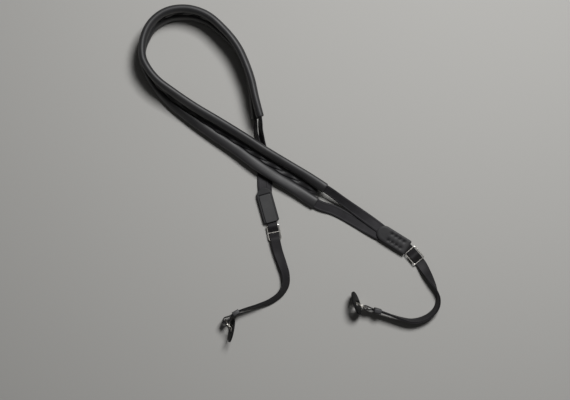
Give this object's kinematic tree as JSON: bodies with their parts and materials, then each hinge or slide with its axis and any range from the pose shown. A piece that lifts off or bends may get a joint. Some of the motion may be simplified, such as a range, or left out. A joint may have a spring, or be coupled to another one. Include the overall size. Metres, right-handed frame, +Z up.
{
  "type": "camera neck strap",
  "caption": "Camera neck strap lying in an open loop: padded leather tubes joined by a braid, woven tapes, tabs, sliders, thin webbing, rings and lug discs.",
  "frame": {"origin": "centre of the strap's bounding box, on the surface that it lies on", "axes": "+Z up from the surface, +Y the way that the neck loop points, +X towards the end with its tab face up"},
  "size_m": [0.328, 0.3624, 0.036],
  "materials": {
    "black_leather": "smooth black leather with a soft sheen",
    "woven_tape": "closely woven black tape",
    "thin_webbing": "thin black nylon webbing",
    "grey_keeper": "dark grey moulded sleeve",
    "bright_steel": "bright plated steel wire"
  },
  "bodies": {
    "root": {"neck_tube_upper": "black_leather", "neck_tube_lower": "black_leather", "centre_braid": "black_leather", "tape_right_upper": "woven_tape", "tape_right_lower": "woven_tape", "tape_left_upper": "woven_tape", "tape_left_lower": "woven_tape", "tab_front_leaf_right": "black_leather", "tab_back_leaf_right": "black_leather", "tab_panel_right": "black_leather", "slider_right": "bright_steel", "thin_webbing_right": "thin_webbing", "keeper_right": "grey_keeper", "split_ring_right": "bright_steel", "lug_disc_right": "black_leather", "tab_front_leaf_left": "black_leather", "tab_back_leaf_left": "black_leather", "tab_panel_left": "black_leather", "slider_left": "bright_steel", "thin_webbing_left": "thin_webbing", "keeper_left": "grey_keeper", "split_ring_left": "bright_steel", "lug_disc_left": "black_leather"}
  },
  "joints": []
}
